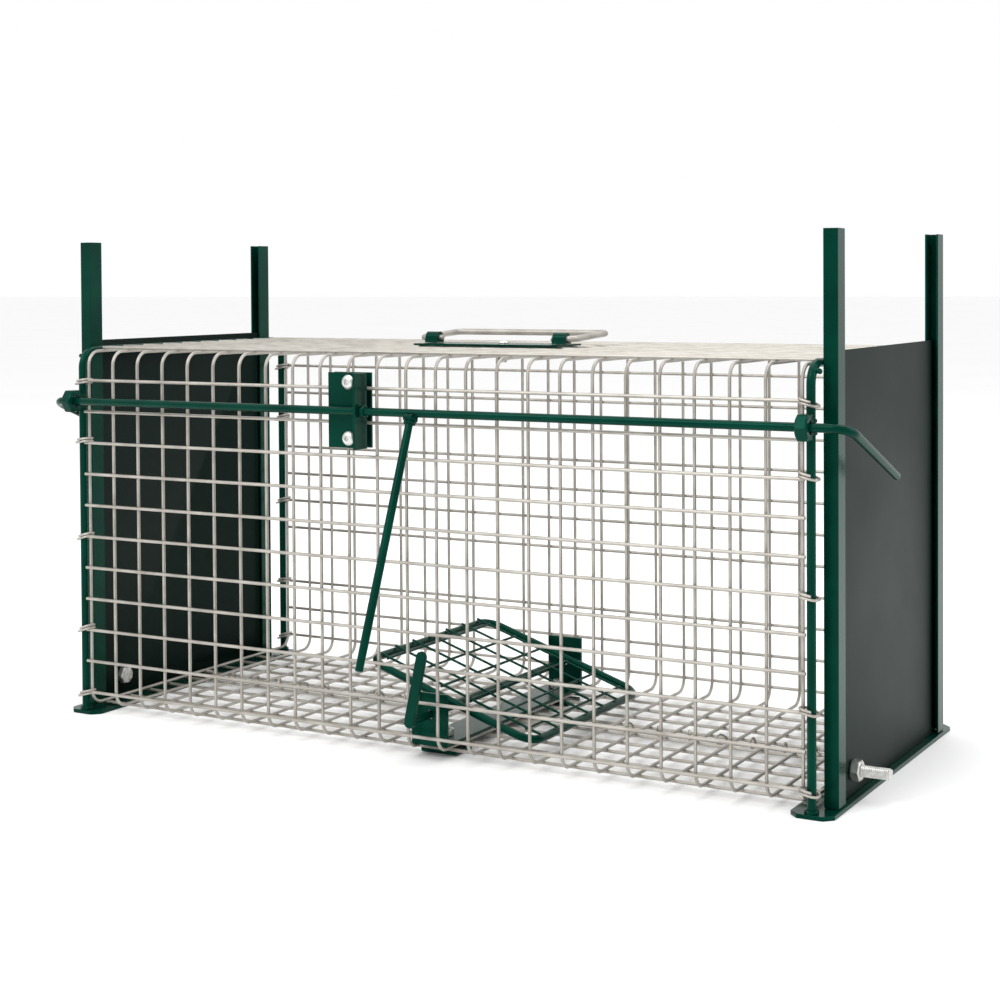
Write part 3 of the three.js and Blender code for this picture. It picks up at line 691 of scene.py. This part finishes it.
def clip(x):
    """A crimped loop across the seam: an ellipse over 320 degrees, with a ripple of a tenth."""
    a = np.radians(np.linspace(-160, 160, 30)) + chance.uniform(-1, 1)
    swell = 1 + 0.1 * np.sin(3 * a + chance.uniform(0, 6))
    lean = chance.uniform(-0.7, 0.7)
    y = CLIP_HALF[0] * np.cos(a) * swell
    z = CLIP_HALF[1] * np.sin(a) * swell
    path = np.array([x, middle_y, seam_z + 1.6 * MM]) + np.stack([lean * y, y, z], -1)
    return tube(path, (1, 0, 0), RING_WIRE / 2, 7)


make("seam_clips", seam + [clip(x) for x in clip_places], wire_zinc, "cage")
print(len(clip_places), "clips and", len(RING_HEIGHTS), "rings to a leg:", end=" ")
print(len(rings), "rings")

# %% [markdown]
# ## Fasteners
# A nut is a hexagon whose corners are cut by a cone at each end, and a thread is a cylinder whose
# radius rises and falls along a helix. Both are one formula for the radius, row by row.


# %% Nuts and threads
def hexagon(flats, cut):
    """The radius of a hexagon: half its flats over the cosine of the angle from the nearest flat's
    middle, and no more than the cone that cuts its corners."""
    return lambda a: np.minimum(flats / 2 / np.cos((a + np.pi / 6) % (np.pi / 3) - np.pi / 6), cut)


def nut(start, axis, flats, thick, bore):
    corner = flats / math.sqrt(3)
    ease = flats * 0.47
    slope = 0.09 * flats
    rows = [
        (bore, 0.4 * MM), (bore + 0.4 * MM, 0), (ease, 0), (hexagon(flats, corner * 0.96), slope * 0.6),
        (hexagon(flats, corner), slope), (hexagon(flats, corner), thick - slope),
        (hexagon(flats, corner * 0.96), thick - slope * 0.6), (ease, thick), (bore + 0.4 * MM, thick),
        (bore, thick - 0.4 * MM),
    ]
    return turned(start, axis, [r for r, _ in rows], [h for _, h in rows], 72)


def thread(start, axis, diameter, length, pitch):
    """The radius falls by the depth and rises again once a pitch, as a triangle wave of the height less
    the angle's share of a turn. It narrows over the last turn."""
    heights = np.arange(0, length, pitch / 8)
    depth = 0.5 * pitch
    fade = np.clip((length - heights) / pitch, 0.35, 1)

    def groove(h, keep):
        crest = diameter / 2 * keep**0.15
        return lambda a: crest - depth * np.abs(2 * ((h / pitch - a / (2 * np.pi)) % 1) - 1)

    radii = [groove(h, keep) for h, keep in zip(heights, fade)]
    return turned(start, axis, radii, heights, 32, closed=False)


# %% [markdown]
# A headed stud goes through each door, with a nut on its outside. The thread is modelled, because the
# studs stand out against the floor and a smooth pin would look wrong.

# %% Door studs
STUD = 8 * MM
STUD_PITCH = 1.25 * MM
for side, name in ((-1, "left_door"), (1, "right_door")):
    low, high = box_of(name + "_stud")
    nut_low, nut_high = box_of(name + "_stud_nut")
    axis = np.array([side, 0, 0])
    centre = (low + high) / 2
    inner = min(abs(low[0]), abs(high[0]))
    outer = max(abs(low[0]), abs(high[0]))
    flats = high[1] - low[1]
    head_long = 5.3 * MM
    head = nut((side * inner, centre[1], centre[2]), axis, flats, head_long, 0.5 * MM)
    shank_start = (side * (inner + 1 * MM), centre[1], centre[2])
    shank = thread(shank_start, axis, STUD, outer - inner - 1 * MM, STUD_PITCH)
    make(name + "_bolt", [head, shank], plate_zinc, name, [name + "_stud"], sharp=40)
    nut_start = min(abs(nut_low[0]), abs(nut_high[0]))
    thick = nut_high[0] - nut_low[0]
    hexed = nut((side * nut_start, centre[1], centre[2]), axis, flats, thick, STUD / 2 + 0.1 * MM)
    make(name + "_nut", [hexed], plate_zinc, name, [name + "_stud_nut"])

# %% [markdown]
# The bearings are plain nuts, drilled out and welded to the hoops. They use the same nut, with small
# beads where they meet the hoop.

# %% Bearing nuts and their welds
bearing_welds = []
for name in ("rod_bearing_left", "rod_bearing_right"):
    low, high = box_of(name)
    flats = high[1] - low[1]
    start = (low[0], trip_axis[1], trip_axis[2])
    bearing = nut(start, (1, 0, 0), flats, high[0] - low[0], 4.2 * MM)
    make(name + "_nut", [bearing], green, "cage", [name])
    weld_y = high[1] - 0.4 * MM
    for z, seed in ((4 * MM, 1.0), (-4 * MM, 2.5)):
        for x, stretch in ((low[0] + 1.2 * MM, 1.0), (high[0] - 1.2 * MM, 1.1)):
            at = (x, weld_y, trip_axis[2] + z)
            bearing_welds.append(bead(at, (0, 0.3, 1), 1.1 * MM, 1.1 * MM * stretch, 4, seed))
make("bearing_welds", bearing_welds, green, "cage", sharp=60)


# %% [markdown]
# Two low-headed screws hold the guide. They are the only bright discs at the front, so their
# sockets are cut as real hexagons.

# %% Button-head screws with a hexagon socket
def button_screw(face, axis, head, socket, shank, length):
    """The dome is a flattened circle: half the head times the cosine across, and three tenths of the head
    times the sine up. The socket is a hexagon sunk in its top."""
    t = np.linspace(0.12, 1.15, 9)
    rows = [(0.2 * MM, -length), (shank / 2, -length), (shank / 2, 0.0), (head / 2 * 0.97, 0.0)]
    rows += [(head / 2 * math.cos(a), head * 0.3 * math.sin(a)) for a in t]
    top = rows[-1][1]
    rows += [(hexagon(socket, socket * 0.56), top), (hexagon(socket, socket * 0.56), top - 1.7 * MM)]
    rows += [(0.2 * MM, top - 1.9 * MM)]
    return turned(face, axis, [r for r, _ in rows], [h for _, h in rows], 60, closed=False)


SCREW_SEAT = 2.3 * MM
SCREW_SHANK = 5 * MM
SCREW_SOCKET = 4.2 * MM

for name in ("guide_screw_upper", "guide_screw_lower"):
    low, high = box_of(name)
    face = ((low[0] + high[0]) / 2, guide_high[1] - SCREW_SEAT, (low[2] + high[2]) / 2)
    screw = button_screw(face, (0, -1, 0), high[0] - low[0], SCREW_SOCKET, SCREW_SHANK, high[1] - face[1])
    make(name + "_button", [screw], plate_zinc, "cage", [name])

# %% [markdown]
# ## Sheet and plate
# Posts, doors, foot bars and brackets are flat or folded sheet whose shape in the frame is already right.
# What the frame lacks is the small round that every real edge has, and light shows an edge only by it.
# So each gets a merged copy with a narrow bevel.


# %% Bevelled copies
def eased(name, finish, body, width, segments=2):
    data = frame["nodes"][name].data.copy()
    shell = bmesh.new()
    shell.from_mesh(data)
    bmesh.ops.remove_doubles(shell, verts=shell.verts, dist=1e-6)
    bmesh.ops.dissolve_limit(shell, angle_limit=math.radians(2), verts=shell.verts, edges=shell.edges)
    shell.to_mesh(data)
    shell.free()
    piece = finish_piece(name + "_eased", data, finish, body, [name], 30)
    bevel = piece.modifiers.new("ease", "BEVEL")
    bevel.width = width
    bevel.segments = segments
    bevel.limit_method = "ANGLE"
    bevel.angle_limit = math.radians(40)
    bevel.use_clamp_overlap = True
    return piece


nodes_left = [n for n in sorted(frame["nodes"]) if not frame["nodes"][n].hide_render]
for name in nodes_left:
    if name.endswith("_door_panel"):
        eased(name, door_coat, name.removesuffix("_panel"), 0.35 * MM)
    elif "screw" in name or "nut" in name or "bolt" in name:
        eased(name, plate_zinc, "cage", 0.2 * MM)
    else:
        eased(name, green, "cage", 0.4 * MM)
print("bevelled", len(nodes_left), "pieces:", ", ".join(nodes_left))

# %% [markdown]
# The end frames are welded where rod meets sheet: at the hoop's two feet, and where its upper corners
# touch the posts. The beads are lumpy and carry the same enamel.

# %% End frame welds
foot_high = box_of("foot_bar_right")[1]
foot_welds = []
for hoop_x, front, back in hoops:
    for y in (front, back):
        foot_side = (hoop_x, y, foot_high[2] + 0.8 * MM)
        foot_welds.append(bead(foot_side, (0, 0, 1), ROD / 2 + 0.2 * MM, 1.5 * MM, 5, y * 90))
        inward = np.sign(middle_y - y)
        post_side = (hoop_x + np.sign(hoop_x) * ROD / 2, y + inward * 4 * MM, loop_top - 4 * MM)
        foot_welds.append(bead(post_side, (0, 0.35, 1), 1.4 * MM, 1.5 * MM, 4, y * 50))
make("frame_welds", foot_welds, green, "cage", sharp=60)

# %% [markdown]
# ## Studio
# The trap stands on a plain white floor under soft light from above and in front, so the wires read
# dark and bright against white, and the doors hold a slow gradient.

# %% Floor and lights
floor_data = bpy.data.meshes.new("floor")
floor_data.from_pydata([(-30, -30, 0), (30, -30, 0), (30, 30, 0), (-30, 30, 0)], [], [(0, 1, 2, 3)])
floor = bpy.data.objects.new("floor", floor_data)
bpy.context.scene.collection.objects.link(floor)
pale = Finish("pale_floor", None, Roughness=0.9)
pale.drive(Base_Color=pale.ramp(pale.noise(2), (0.94, 0.94, 0.94), (0.96, 0.96, 0.96)))
floor_data.materials.append(pale.material)

world = bpy.data.worlds.new("studio")
world.use_nodes = True
world.node_tree.nodes["Background"].inputs[0].default_value = (1, 1, 1, 1)
world.node_tree.nodes["Background"].inputs[1].default_value = 1.0
bpy.context.scene.world = world


def softbox(name, at, target, size, power):
    data = bpy.data.lights.new(name, "AREA")
    data.shape = "RECTANGLE"
    data.size, data.size_y = size
    data.energy = power
    lamp = bpy.data.objects.new(name, data)
    lamp.location = at
    lamp.rotation_euler = (Vector(target) - Vector(at)).to_track_quat("-Z", "Y").to_euler()
    bpy.context.scene.collection.objects.link(lamp)


softbox("key", (-0.6, -1.7, 1.9), (0, 0, 0.15), (1.6, 1.2), 26)
softbox("top", (0.2, 0.3, 2.2), (0, 0, 0.1), (2.2, 1.6), 20)
softbox("end", (2.0, 0.3, 1.3), (0.3, 0, 0.2), (1.0, 1.4), 9)
bpy.context.scene.view_settings.view_transform = "Standard"
